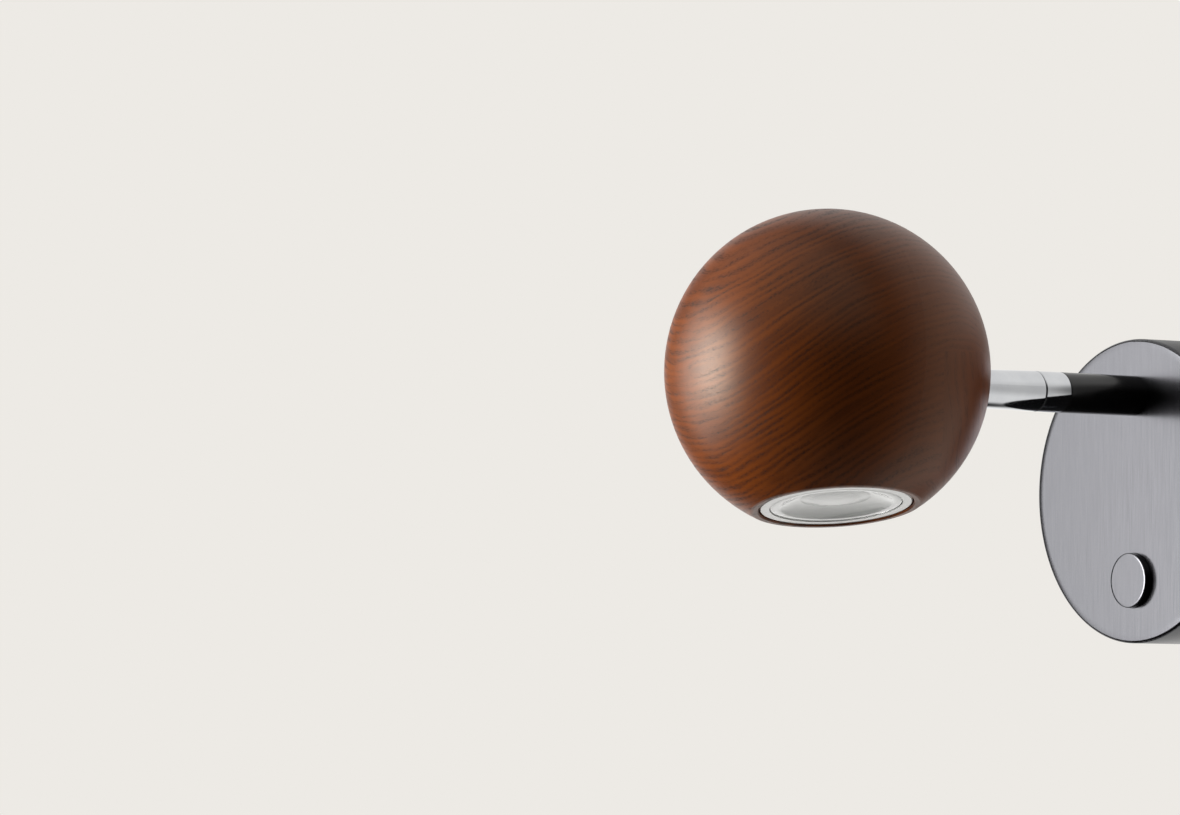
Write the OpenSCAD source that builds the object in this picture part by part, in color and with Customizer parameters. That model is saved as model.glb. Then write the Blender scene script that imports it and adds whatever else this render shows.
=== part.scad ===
// Wall sconce: a turned wooden ball on a short arm, with a twist-lock reflector lamp in its underside.
// The neck swivels in a chrome collar, the ball tilts on a knuckle in its back, and a push button
// in the round base works the switch. Millimetres. The wall is the plane y = 0, +Z is up and the
// lamp stands out from the wall along -Y.

/* [Base cover] */
// Diameter of the round base
base_d = 103; // [96:1:120]
// How far the base stands out from the wall
base_depth = 30; // [28:1:45]
// Sheet thickness of the cover
cover_wall = 1.5; // [1:0.1:2.2]
// Rounding of the cover's front edge
cover_edge = 1; // [0.2:0.1:1.2]

/* [Wall bracket] */
// Sheet thickness of the bracket
bracket_t = 2; // [1.5:0.1:3]
// Gap between the bracket's edge and the cover
bracket_gap = 0.5; // [0.3:0.1:1]
// Distance between the two wall screws
slot_spacing = 60; // [54:1:64]
// Width of a wall screw's slot
slot_w = 4.5; // [4:0.1:5.5]
// Length of a wall screw's slot, end to end
slot_l = 12; // [8:1:14]
// Diameter of the hole for the supply cable
cable_hole_d = 14; // [11:1:15]
// How far the cable hole lies below the centre
cable_hole_drop = 9; // [8.5:0.5:10]
// Width of a lug that takes a cover screw
lug_w = 12; // [9:1:16]
// Diameter of a cover screw
grub_d = 4; // [3:0.5:5]
// Length of a cover screw
grub_len = 7; // [6:0.5:9]
// Height of a cover screw above the wall
grub_rise = 9; // [8:0.5:12]
// Diameter of the earth screw
earth_d = 4; // [3:0.5:5]

/* [Terminal block] */
// Distance between two poles
pole_pitch = 9; // [8:0.5:10]
// Length of the block along its wires
block_l = 16; // [14:1:18]
// Height of the block above the bracket
block_t = 12; // [11:0.5:14]
// How far the block's middle lies above the centre
block_rise = 12; // [11:0.5:12.5]
// Diameter of a wire hole
wire_hole_d = 3.4; // [2.6:0.1:3.8]
// Diameter of a clamping screw
clamp_screw_d = 3.4; // [3:0.1:4]
// Diameter of a screw that holds the block
block_screw_d = 2.6; // [2:0.1:2.8]

/* [Push button] */
// Diameter of the button
button_d = 18.5; // [16:0.5:20]
// How far the button stands out of the cover
button_proud = 2.5; // [1.9:0.1:4]
// Rounding of the button's edge
button_edge = 0.3; // [0.1:0.1:0.5]
// How far the button lies below the centre
button_drop = 30.3; // [29:0.1:32]
// Travel of the button
button_travel = 1.5; // [1:0.1:1.6]
// Gap round the button
button_gap = 0.2; // [0.15:0.05:0.4]
// How far the flange behind the cover reaches past the button
button_lip = 1.2; // [0.8:0.1:1.4]
// Thickness of that flange
button_flange_t = 1.2; // [0.8:0.1:2]
// Diameter of the button's plunger
plunger_d = 6; // [4:0.5:6]
// Length of the return spring at rest
spring_len = 4.75; // [4.5:0.05:6]
// Wire of the return spring
spring_wire = 0.6; // [0.4:0.05:0.7]
// Turns of the return spring
spring_turns = 3; // [2:1:3]

/* [Push switch] */
// Width of the switch
switch_w = 20; // [18:1:22]
// Height of the switch
switch_h = 18; // [14:1:20]
// Depth of the switch
switch_t = 12; // [9:0.5:13]
// Diameter of the bush that guides the plunger
bush_d = 11; // [10:0.5:13]
// Height of that bush
bush_h = 2.5; // [2:0.1:3]
// Diameter of a boss behind the cover
boss_d = 6; // [5:0.5:7]
// Diameter of a switch screw
switch_screw_d = 3; // [2:0.5:3.5]
// Thickness of the switch's ears
ear_t = 2; // [1.5:0.1:3]

/* [Arm] */
// Diameter of the arm, the collar and the neck's root
arm_d = 13.6; // [13:0.1:16]
// How far the arm lies above the centre
arm_rise = 32.2; // [31:0.1:35]
// Length of the black tube
arm_len = 32.4; // [24:0.1:60]
// Broken edge at the ends of the tube, the collar and the neck
edge_break = 0.25; // [0.1:0.05:0.4]
// Diameter of the hollow nipple
nipple_d = 10; // [8:0.5:10]
// How far the nipple reaches into the tube
nipple_grip = 12; // [8:1:16]
// Width of the nut across its flats
nut_w = 14; // [13:0.5:17]
// Thickness of the nut
nut_t = 3; // [2.5:0.1:5]
// Diameter of the washer under the nut
washer_d = 18; // [16:1:20]
// Thickness of that washer
washer_t = 1.2; // [0.8:0.1:2]
// Bore for the lead through the whole arm
wire_bore = 5; // [4.9:0.1:5.2]

/* [Swivel] */
// Length of the chrome collar
collar_len = 10.5; // [10:0.1:16]
// Wall of the collar
collar_wall = 0.8; // [0.6:0.1:1]
// Thickness of the collar's front
collar_front = 2.5; // [1.5:0.1:3]
// Fine seam between the collar and the neck
seam = 0.3; // [0.2:0.05:0.6]
// Diameter of the flange that turns in the collar
swivel_flange_d = 8.4; // [8:0.1:8.6]
// Thickness of that flange
swivel_flange_t = 2.4; // [1.8:0.1:3]
// Thickness of each friction washer
swivel_washer_t = 0.8; // [0.5:0.1:1]
// Diameter of the swivel pin's shank
shank_d = 6.8; // [6.4:0.1:7]
// How far the shank reaches into the neck
shank_grip = 9; // [6:0.5:12]
// Diameter of the stop pin
stop_pin_d = 1.1; // [0.8:0.1:1.1]
// How far the stop pin reaches into the arm
stop_pin_grip = 3; // [2:0.5:6]
// Swivel each way from upright before the stop
swivel_limit = 160; // [120:1:162]
// Swivel of the head as photographed
head_swivel = 11.6; // [-60:0.1:60]

/* [Neck and knuckle] */
// Length from the seam to the knuckle pin
neck_len = 37.5; // [34:0.1:80]
// Diameter of the neck at its far end
neck_tip_d = 12.9; // [11:0.1:13]
// Length of the thin stem from the knuckle pin
stem_len = 11; // [10.5:0.1:14]
// Diameter of the stem and of its rounded end
stem_d = 9; // [8.5:0.1:9.5]
// Thickness of the tongue between its flats
tongue_t = 6; // [5:0.1:7]
// Length of the tongue's flats from the knuckle pin
tongue_len = 6.5; // [6:0.1:7.5]
// Diameter of the knuckle pin
knuckle_pin_d = 4; // [3:0.5:5]
// Thickness of each knuckle washer
knuckle_washer_t = 1; // [0.6:0.1:1.4]
// Diameter of the socket in the ball's back
socket_d = 22; // [21:0.5:26]
// Depth of the socket's shoulder behind the knuckle pin
socket_step = 10; // [8:0.5:14]
// Height of the socket's slot
socket_slot = 17; // [16.5:0.1:18]
// Diameter of the socket's threaded tail
tail_d = 14; // [12:0.5:16]
// Bore of the tail for the lead
tail_bore = 7; // [5:0.5:8]
// Diameter of the ring nut
ring_nut_d = 20; // [18:0.5:22]
// Thickness of the ring nut
ring_nut_t = 4; // [3:0.5:5]
// How far the knuckle pin lies inside the ball
pin_inset = 4.8; // [4.2:0.1:6]
// Tip of the head outwards as photographed
head_tilt = 3.8; // [-20:0.1:20]

/* [Ball] */
// Diameter of the wooden ball
ball_d = 106.8; // [100:0.2:125]
// Diameter of the opening
mouth_d = 50.8; // [50.4:0.1:52]
// How far the lamp's face lies inside the opening
lamp_recess = 0.5; // [0.1:0.1:4]
// Bevel of the wood round the opening
lip_bevel = 0.4; // [0.2:0.1:0.6]

/* [Lamp] */
// Diameter of the lamp's face
lamp_d = 50; // [48:0.1:50.2]
// Length of the lamp without its pins
lamp_len = 47; // [42:0.5:50]
// How far the lamp's face lies below the ball's middle
lamp_drop = 45.2; // [42:0.1:46]
// Height of the rim's straight side
rim_h = 4; // [2:0.5:6]
// Diameter of the lamp's base
lamp_base_d = 24; // [22:0.5:26]
// Length of the lamp's base
lamp_base_l = 9; // [6:0.5:12]
// Diameter of the clear lens
lens_d = 43.4; // [40:0.1:44]
// Diameter of the lens's middle dome
dome_d = 23; // [16:0.5:26]
// Depth of the dish round the dome
dish_depth = 2.5; // [1:0.1:3]
// Distance between the lamp's pins
pin_spacing = 10; // [9.5:0.1:11]
// Diameter of a pin
lamp_pin_d = 3.2; // [2.6:0.1:3.4]
// Diameter of a pin's head
lamp_head_d = 4.9; // [4.4:0.1:5.2]
// Length of a pin with its head
lamp_pin_len = 6.5; // [6:0.1:8]
// Thickness of a pin's head
lamp_head_t = 2.8; // [2:0.1:3]
// Turn that frees the lamp from its holder
twist = 25; // [15:1:35]

/* [Lampholder] */
// Diameter of the holder
holder_d = 26; // [25:0.5:28]
// Height of the holder
holder_h = 17; // [15:0.5:19]
// Gap between the lamp and the holder
holder_gap = 0.3; // [0.2:0.1:0.6]
// Width of the strap that carries the holder
strap_w = 18; // [17:0.5:22]
// Thickness of the strap
strap_t = 1.5; // [1:0.1:2]
// Distance between the holder's screws
holder_screw_spacing = 18; // [17:0.5:19]
// Diameter of a holder screw
holder_screw_d = 3; // [2:0.5:3]

/* [Fits] */
// Radial clearance of a screw or a pressed pin in its hole
thread_gap = 0.05; // [0.02:0.01:0.08]
// Clearance of a running fit
run_gap = 0.05; // [0.03:0.01:0.08]
// Radial clearance of a screw in a plain hole
hole_gap = 0.25; // [0.15:0.05:0.4]

/* [Hidden] */
$fn = 96;

// Overshoot of a cut, and overlap of shapes that are one piece
over = 1;
fuse = 0.2;

// Levels out from the wall, in the base and along the arm
cover_back = base_depth - cover_wall;
cover_inner_r = base_d / 2 - cover_wall;
arm_end = base_depth + arm_len;
collar_end = arm_end + collar_len;
neck_start = collar_end + seam;
pin_level = neck_start + neck_len;
chamber_end = collar_end - collar_front;
chamber_start = chamber_end - swivel_flange_t - 2 * swivel_washer_t - 2 * run_gap;

// Bracket
bracket_r = cover_inner_r - bracket_gap;
lug_inset = 0.3;
lug_face = sqrt(bracket_r * bracket_r - lug_w * lug_w / 4) - lug_inset;
lug_collar = 2;
grub_sink = 0.4;
grub_socket_w = grub_d / 2;
earth_place = [-26, 20];
screw_head_ratio = 1.8;
screw_slot = 0.8;

// Terminal block, lying across the bracket
poles = [-1, 0, 1];
pole_r = pole_pitch / 2 - 0.6;
pole_level = block_t - pole_r;
block_w = 3 * pole_pitch + 1;
block_base_t = 5;
clamp_screw_l = 4;
clamp_offset = block_l / 4;

// Button, spring and switch
flange_back = cover_back - run_gap - button_flange_t;
bush_top = flange_back - spring_len;
switch_top = bush_top - bush_h;
plunger_end = switch_top - 2.5;
plunger_room = 0.5;
boss_x = button_d / 2 + button_lip + boss_d / 2 + 1;
boss_depth = 6;
ear_r = boss_d / 2 + 0.6;
spring_r = plunger_d / 2 + spring_wire / 2 + 0.5;
spring_sides = 6;
spring_rings = 8;
blade_x = 6.5;
blade_w = 3;
blade_t = 0.8;
blade_l = 4.5;
blade_level = switch_top - switch_t / 2;

// Swivel
chamber_r = arm_d / 2 - collar_wall;
stop_inset = 1;
stop_r = chamber_r - stop_inset;
stop_half = asin(stop_pin_d / 2 / stop_r);
stop_play = 1;
lug_half = 180 - swivel_limit - stop_half - stop_play;
lug_r = chamber_r - 0.25;

// Knuckle and ball, measured from the knuckle pin
ball_reach = ball_d / 2 - pin_inset;
mouth_level = lamp_drop + lamp_recess;
lip_slope = acos(mouth_level / (ball_d / 2)) / 2;
cavity_r = mouth_d / 2;
socket_mouth = ball_reach - sqrt(pow(ball_d / 2, 2) - pow(socket_d / 2, 2)) + 0.3;
socket_slot_w = tongue_t + 2 * knuckle_washer_t + 4 * run_gap;
slot_floor = stem_d / 2 + 1;
groove_depth = 0.8;
strap_seat = ball_reach - cavity_r - groove_depth;
tail_end = strap_seat + strap_t + ring_nut_t + 0.8;
strap_foot = ring_nut_d / 2 + 3;
spot_face_d = ring_nut_d / cos(30) + 2;
strap_bend = 2.5;

// Lamp and holder, measured from the ball's middle along the lamp
lamp_back = lamp_drop - lamp_len;
holder_front = lamp_back - holder_gap;
holder_back = holder_front - holder_h;
strap_top = holder_back - strap_t;
holder_head_t = 2;
cavity_top = strap_top - 8;
lip_t = 2.6;
pin_room = 0.3;
chamber_floor = lamp_back - lamp_pin_len - pin_room - 1;
contact_t = 0.6;
board_level = 20;
board_t = 1.6;
board_r = 11;
lens_gap = 0.1;
lens_t = 3;
lens_foot_r = 6;

// Leads: diameter, and points chosen by hand along each route
supply_lead_d = 4.2;
switch_lead_d = 2;
head_lead_d = 3;
lead_sides = 8;
supply_route = [
    [0, 32.2, 103.5], [0, 32.2, 80], [0, 32.2, 55], [0, 32.2, 22.5], [0, 31.4, 18.5], [0, 29, 14.5],
    [0, 25, 11.5], [0, 20.3, 10.5]
];
switch_route = [[6.5, -16.4, 14.3], [6.8, -13, 13.5], [8.4, -8, 11.5], [9, -3, 10.6], [9, 3.7, 10.5]];
head_route = [
    [0, 0, 7], [0, 0, 27.5], [0, 0.9, 30], [0, 3, 31.3], [0, 7, 31.5], [0, 20, 31.5], [0, 23.5, 32],
    [0, 25.3, 34], [0, 25.8, 38], [0, 25.8, 44], [0, 25, 47], [0, 23, 48.4], [0, 19.5, 48.7]
];
lead_hole = [0, 31.5];

// Colours
black_metal = [0.06, 0.06, 0.065];
graphite = [0.36, 0.36, 0.38];
chrome = [0.82, 0.83, 0.85];
steel = [0.62, 0.63, 0.65];
brass = [0.8, 0.65, 0.35];
walnut = [0.36, 0.19, 0.1];
white_plastic = [0.9, 0.9, 0.88];
black_plastic = [0.1, 0.1, 0.1];
ceramic = [0.93, 0.92, 0.88];
clear = [0.85, 0.88, 0.9, 0.5];

// Frames. On the wall: x to the right, y up, z out of the wall.
module on_wall() {
    rotate([90, 0, 0]) children();
}

// On the arm's axis, with z still measured from the wall
module on_arm() {
    on_wall() translate([0, arm_rise, 0]) children();
}

// Turned with the neck
module on_neck() {
    on_arm() rotate([0, 0, head_swivel]) children();
}

// On the knuckle pin, which lies along x, with z towards the ball's middle
module on_head() {
    on_neck() translate([0, 0, pin_level]) rotate([-head_tilt, 0, 0]) children();
}

// On the ball's middle, with z along the lamp and out of the opening
module on_lamp() {
    on_head() translate([0, 0, ball_reach]) rotate([90, 0, 0]) children();
}

// Plain shapes that repeat
module ring(outer_d, inner_d, height) {
    difference() {
        cylinder(d = outer_d, h = height);
        translate([0, 0, -over]) cylinder(d = inner_d, h = height + 2 * over);
    }
}

module hexagon(across, height) {
    cylinder(d = across / cos(30), h = height, $fn = 6);
}

// Turned bar on z = 0 with its upper edge broken
module broken_bar(d, height, edge) {
    cylinder(d = d, h = height - edge);
    translate([0, 0, height - edge]) cylinder(d1 = d, d2 = d - 2 * edge, h = edge);
}

// Slotted screw standing on z = 0, with its shank below
module slotted_screw(d, shank, head_t) {
    head_d = d * screw_head_ratio;
    difference() {
        union() {
            translate([0, 0, -shank]) cylinder(d = d, h = shank + fuse);
            cylinder(d = head_d, h = head_t);
        }
        translate([-head_d, -screw_slot / 2, head_t / 2]) cube([2 * head_d, screw_slot, head_t]);
    }
}

// Part of a ring about z that a disc as wide as the ring can travel in, from angle 0 to a given angle
module arc_slot(r, width, angle, height) {
    end_room = asin(width / 2 / r);
    rotate([0, 0, -end_room]) rotate_extrude(angle = angle + 2 * end_room)
        translate([r - width / 2, 0]) square([width, height]);
}

// Unit vector
function unit(v) = v / norm(v);

// Direction of a route at one of its points
function heading(points, i) = unit(points[min(i + 1, len(points) - 1)] - points[max(i - 1, 0)]);

// Points of one ring of a tube, square to its heading, with one side towards the given direction
function tube_ring(at, along, side, r, sides) =
    let (across = unit(cross(side, along)), third = cross(along, across))
    [for (k = [0:sides - 1]) at + r * (cos(360 * k / sides) * across + sin(360 * k / sides) * third)];

// Round tube along a route that never runs parallel to the given direction
module tube(points, d, sides, side) {
    rings = len(points);
    vertices = [
        for (i = [0:rings - 1])
            each tube_ring(points[i], heading(points, i), side, d / 2, sides)
    ];
    walls = [
        for (i = [0:rings - 2], k = [0:sides - 1])
            let (next = (k + 1) % sides, a = i * sides, b = a + sides)
            each [[a + k, b + k, b + next], [a + k, b + next, a + next]]
    ];
    caps = [
        for (k = [1:sides - 2])
            each [[0, k, k + 1], [(rings - 1) * sides, (rings - 1) * sides + k + 1, (rings - 1) * sides + k]]
    ];
    polyhedron(points = vertices, faces = concat(walls, caps));
}

// Base cover: a drawn drum with a flat front, bored for the arm, the button and its side screws
module cover_profile() {
    difference() {
        union() {
            square([base_d / 2, base_depth - cover_edge]);
            square([base_d / 2 - cover_edge, base_depth]);
            translate([base_d / 2 - cover_edge, base_depth - cover_edge]) circle(r = cover_edge);
        }
        translate([-over, -over]) square([cover_inner_r + over, cover_back + over]);
    }
}

module base_cover() {
    color(graphite) on_wall() difference() {
        union() {
            rotate_extrude() cover_profile();
            for (side = [-1, 1])
                translate([side * boss_x, -button_drop, switch_top])
                    cylinder(d = boss_d, h = cover_back - switch_top + fuse);
        }
        translate([0, arm_rise, cover_back - over])
            cylinder(d = nipple_d + 2 * hole_gap, h = cover_wall + 2 * over);
        translate([0, -button_drop, cover_back - over])
            cylinder(d = button_d + 2 * button_gap, h = cover_wall + 2 * over);
        for (side = [-1, 1]) {
            translate([side * (cover_inner_r - over), 0, grub_rise])
                rotate([0, side * 90, 0]) cylinder(d = grub_d + 2 * hole_gap, h = cover_wall + 2 * over);
            translate([side * boss_x, -button_drop, switch_top - over])
                cylinder(d = switch_screw_d + 2 * thread_gap, h = boss_depth + over);
        }
    }
}

// Wall bracket: a round plate with two slots, a cable hole and two upright lugs
module lug_outline() {
    circle(d = lug_w);
    translate([-lug_w / 2, -grub_rise]) square([lug_w, grub_rise]);
}

module wall_bracket() {
    color(steel) on_wall() difference() {
        union() {
            cylinder(r = bracket_r, h = bracket_t);
            for (side = [-1, 1])
                translate([side * lug_face, 0, grub_rise]) rotate([0, -side * 90, 0]) {
                    rotate([0, 0, -side * 90]) linear_extrude(bracket_t) lug_outline();
                    cylinder(d = grub_d + 3, h = bracket_t + lug_collar);
                }
        }
        for (side = [-1, 1]) {
            wall_slot(side * slot_spacing / 2);
            translate([side * (lug_face + over), 0, grub_rise]) rotate([0, -side * 90, 0])
                cylinder(d = grub_d + 2 * thread_gap, h = bracket_t + lug_collar + 2 * over);
            translate([side * pole_pitch / 2, block_rise, -over])
                cylinder(d = block_screw_d + 2 * thread_gap, h = bracket_t + 2 * over);
        }
        translate([0, -cable_hole_drop, -over]) cylinder(d = cable_hole_d, h = bracket_t + 2 * over);
        translate([earth_place[0], earth_place[1], -over])
            cylinder(d = earth_d + 2 * thread_gap, h = bracket_t + 2 * over);
    }
}

// One slot for a wall screw, along x
module wall_slot(x) {
    straight = slot_l - slot_w;
    translate([x, 0, -over]) {
        translate([-straight / 2, -slot_w / 2, 0]) cube([straight, slot_w, bracket_t + 2 * over]);
        for (end = [-1, 1]) translate([end * straight / 2, 0, 0])
            cylinder(d = slot_w, h = bracket_t + 2 * over);
    }
}

// Set screws with hexagon sockets, through the cover into the lugs
module cover_screws() {
    color(black_metal) on_wall() for (side = [-1, 1])
        translate([side * (base_d / 2 - grub_sink), 0, grub_rise]) rotate([0, -side * 90, 0]) difference() {
            cylinder(d = grub_d, h = grub_len);
            translate([0, 0, -over]) hexagon(grub_socket_w, grub_d / 2 + over);
        }
}

// Terminal block: a base with three round barrels, wire holes right through and two screw wells each
module block_outline() {
    translate([-block_w / 2, 0]) square([block_w, block_base_t]);
    for (pole = poles) {
        translate([pole * pole_pitch, pole_level]) circle(r = pole_r);
        translate([pole * pole_pitch - pole_r, 0]) square([2 * pole_r, pole_level]);
    }
}

module at_block() {
    on_wall() translate([0, block_rise, bracket_t]) children();
}

module terminal_block() {
    color(white_plastic) at_block() difference() {
        translate([0, block_l / 2, 0]) rotate([90, 0, 0]) linear_extrude(block_l) block_outline();
        for (pole = poles) {
            translate([pole * pole_pitch, block_l / 2 + over, pole_level]) rotate([90, 0, 0])
                cylinder(d = wire_hole_d, h = block_l + 2 * over);
            for (end = [-1, 1])
                translate([pole * pole_pitch, end * clamp_offset, pole_level])
                    cylinder(d = clamp_screw_d + 2 * hole_gap, h = pole_r + over);
        }
        for (side = [-1, 1])
            translate([side * pole_pitch / 2, 0, -over])
                cylinder(d = block_screw_d + 2 * hole_gap, h = block_base_t + 2 * over);
        for (side = [-1, 1])
            translate([side * pole_pitch / 2, 0, block_base_t])
                cylinder(d = block_screw_d * screw_head_ratio + 2 * hole_gap, h = block_t);
    }
}

// Clamping screws, six alike, their tips in the wire holes' upper half
module terminal_screws() {
    color(steel) at_block() for (pole = poles, end = [-1, 1])
        translate([pole * pole_pitch, end * clamp_offset, block_t - clamp_screw_l - 0.4]) difference() {
            cylinder(d = clamp_screw_d, h = clamp_screw_l);
            translate([-clamp_screw_d, -screw_slot / 2, clamp_screw_l - screw_slot])
                cube([2 * clamp_screw_d, screw_slot, screw_slot + over]);
        }
}

// Two screws between the barrels, through the block into the bracket
module block_screws() {
    color(steel) at_block() for (side = [-1, 1])
        translate([side * pole_pitch / 2, 0, block_base_t])
            slotted_screw(block_screw_d, block_base_t + bracket_t - fuse, block_screw_d / 2);
}

// Earth screw on the bracket, over its washer
module earth_screw() {
    color(brass) on_wall() translate([earth_place[0], earth_place[1], bracket_t]) {
        ring(earth_d * screw_head_ratio + 1.5, earth_d - fuse, washer_t);
        translate([0, 0, washer_t]) slotted_screw(earth_d, washer_t + bracket_t - fuse, earth_d * 0.6);
    }
}

// Push switch: a moulded box with a guide bush for the plunger and two ears
module switch_body() {
    color(black_plastic) on_wall() translate([0, -button_drop, 0]) difference() {
        union() {
            translate([-switch_w / 2, -switch_h / 2, switch_top - switch_t])
                cube([switch_w, switch_h, switch_t]);
            translate([0, 0, switch_top - fuse]) cylinder(d = bush_d, h = bush_h + fuse);
            translate([0, 0, switch_top - ear_t]) linear_extrude(ear_t) ear_outline();
        }
        translate([0, 0, plunger_end - button_travel - plunger_room])
            cylinder(
                d = plunger_d + 2 * run_gap,
                h = bush_top - plunger_end + button_travel + plunger_room + over
            );
        for (side = [-1, 1]) {
            translate([side * boss_x, 0, switch_top - ear_t - over])
                cylinder(d = switch_screw_d + 2 * hole_gap, h = ear_t + 2 * over);
            translate([side * blade_x - blade_w / 2, switch_h / 2 - 3, blade_level - blade_t / 2])
                cube([blade_w, 3 + over, blade_t]);
        }
    }
}

module ear_outline() {
    translate([-boss_x, -ear_r]) square([2 * boss_x, 2 * ear_r]);
    for (side = [-1, 1]) translate([side * boss_x, 0]) circle(r = ear_r);
}

// Screws through the ears into the cover's bosses
module switch_screws() {
    color(steel) on_wall() for (side = [-1, 1])
        translate([side * boss_x, -button_drop, switch_top - ear_t]) rotate([180, 0, 0])
            slotted_screw(switch_screw_d, ear_t + boss_depth - over, switch_screw_d / 2);
}

// Terminal blades, out of the switch's upper side
module switch_terminals() {
    color(brass) on_wall() for (side = [-1, 1])
        translate([side * blade_x - blade_w / 2, -button_drop + switch_h / 2 - 3, blade_level - blade_t / 2])
            cube([blade_w, 3 + blade_l, blade_t]);
}

// Two leads from the blades to the block's outer poles
module switch_leads() {
    color(black_plastic) on_wall() for (side = [-1, 1])
        tube([for (p = switch_route) [side * p[0], p[1], p[2]]], switch_lead_d, lead_sides, [0, 0, 1]);
}

// Black arm tube, threaded on the nipple, with a spigot for the collar
module arm_tube() {
    color(black_metal) on_arm() difference() {
        union() {
            translate([0, 0, base_depth]) broken_bar(arm_d, arm_len, edge_break);
            translate([0, 0, arm_end - fuse])
                cylinder(r = chamber_r - thread_gap, h = chamber_start - arm_end + fuse);
        }
        translate([0, 0, base_depth - over]) cylinder(d = wire_bore, h = arm_len + collar_len + 2 * over);
        translate([0, 0, base_depth - over])
            cylinder(d = nipple_d + 2 * thread_gap, h = nipple_grip + 2 * over);
        translate([0, stop_r, chamber_start - stop_pin_grip])
            cylinder(d = stop_pin_d + 2 * thread_gap, h = stop_pin_grip + over);
    }
}

// Chrome collar: screwed on the arm's spigot, it holds the swivel flange behind its front
module arm_collar() {
    color(chrome) on_arm() difference() {
        union() {
            translate([0, 0, arm_end]) cylinder(d1 = arm_d - 2 * edge_break, d2 = arm_d, h = edge_break);
            translate([0, 0, arm_end + edge_break]) broken_bar(arm_d, collar_len - edge_break, edge_break);
        }
        translate([0, 0, arm_end - over]) cylinder(r = chamber_r, h = chamber_end - arm_end + over);
        translate([0, 0, chamber_end - over])
            cylinder(d = shank_d + 2 * run_gap, h = collar_front + 2 * over);
    }
}

// Hollow nipple through the cover's front
module arm_nipple() {
    color(brass) on_arm() translate([0, 0, cover_back - washer_t - nut_t - over])
        ring(nipple_d, nipple_d - 3, over + nut_t + washer_t + cover_wall + nipple_grip);
}

module arm_washer() {
    color(steel) on_arm() translate([0, 0, cover_back - washer_t])
        ring(washer_d, nipple_d + 2 * hole_gap, washer_t);
}

module arm_nut() {
    color(brass) on_arm() translate([0, 0, cover_back - washer_t - nut_t]) difference() {
        hexagon(nut_w, nut_t);
        translate([0, 0, -over]) cylinder(d = nipple_d + 2 * thread_gap, h = nut_t + 2 * over);
    }
}

// Stop pin in the spigot's end, beside the swivel flange
module stop_pin() {
    reach = chamber_end - chamber_start - swivel_washer_t;
    color(steel) on_arm() translate([0, stop_r, chamber_start - stop_pin_grip])
        cylinder(d = stop_pin_d, h = stop_pin_grip + reach);
}

// Lead from the terminal block up and along the arm's axis to the knuckle
module supply_lead() {
    color(black_plastic) on_wall() tube(supply_route, supply_lead_d, lead_sides, [1, 0, 0]);
}

// Push button: cap through the cover, flange behind it and plunger in the switch
module button_cap() {
    color(graphite) on_wall() translate([0, -button_drop, 0]) {
        translate([0, 0, flange_back]) cylinder(d = button_d + 2 * button_lip, h = button_flange_t);
        translate([0, 0, flange_back]) rotate_extrude() button_profile();
        translate([0, 0, plunger_end]) cylinder(d = plunger_d, h = flange_back - plunger_end + fuse);
    }
}

module button_profile() {
    height = base_depth + button_proud - flange_back;
    square([button_d / 2, height - button_edge]);
    square([button_d / 2 - button_edge, height]);
    translate([button_d / 2 - button_edge, height - button_edge]) circle(r = button_edge);
}

// Return spring between the bush and the button's flange
module switch_spring() {
    rise = spring_len - spring_wire - 2 * run_gap;
    steps = spring_turns * spring_rings;
    route = [
        for (i = [0:steps])
            let (angle = 360 * i / spring_rings)
            [spring_r * cos(angle), spring_r * sin(angle), rise * i / steps]
    ];
    color(steel) on_wall() translate([0, -button_drop, bush_top + run_gap + spring_wire / 2])
        tube(route, spring_wire, spring_sides, [0, 0, 1]);
}

// Chrome neck: a slender taper, a thin stem and a flat tongue with a rounded eye
module neck_tube() {
    shoulder = pin_level - stem_len;
    bevel = (neck_tip_d - stem_d) / 2;
    color(chrome) on_neck() difference() {
        union() {
            translate([0, 0, neck_start]) cylinder(d1 = arm_d - 2 * edge_break, d2 = arm_d, h = edge_break);
            translate([0, 0, neck_start + edge_break])
                cylinder(d1 = arm_d, d2 = neck_tip_d, h = shoulder - bevel - neck_start - edge_break);
            translate([0, 0, shoulder - bevel]) cylinder(d1 = neck_tip_d, d2 = stem_d, h = bevel);
            translate([0, 0, shoulder - fuse]) cylinder(d = stem_d, h = stem_len + fuse);
            translate([-stem_d / 2, 0, pin_level]) rotate([0, 90, 0]) cylinder(d = stem_d, h = stem_d);
        }
        for (side = [-1, 1])
            translate([side * (tongue_t / 2 + stem_d) - stem_d, -stem_d, pin_level - tongue_len])
                cube([2 * stem_d, 2 * stem_d, tongue_len + stem_d]);
        translate([-stem_d, 0, pin_level]) rotate([0, 90, 0])
            cylinder(d = knuckle_pin_d + 2 * run_gap, h = 2 * stem_d);
        translate([0, 0, neck_start - over]) cylinder(d = shank_d + 2 * thread_gap, h = shank_grip + over);
        translate([0, 0, neck_start]) cylinder(d = wire_bore, h = pin_level - tongue_len - neck_start);
    }
}

// Hollow swivel pin: flange with a stop lug in the collar, shank screwed into the neck
module swivel_pin() {
    flange_start = chamber_start + run_gap + swivel_washer_t;
    color(steel) on_neck() difference() {
        union() {
            translate([0, 0, flange_start]) cylinder(d = swivel_flange_d, h = swivel_flange_t);
            translate([0, 0, flange_start]) cylinder(d = shank_d, h = neck_start + shank_grip - flange_start);
            translate([0, 0, flange_start]) rotate([0, 0, -90 - lug_half])
                rotate_extrude(angle = 2 * lug_half)
                translate([shank_d / 2, 0]) square([lug_r - shank_d / 2, swivel_flange_t]);
        }
        translate([0, 0, flange_start - over])
            cylinder(d = wire_bore, h = neck_start + shank_grip - flange_start + 2 * over);
    }
}

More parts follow.
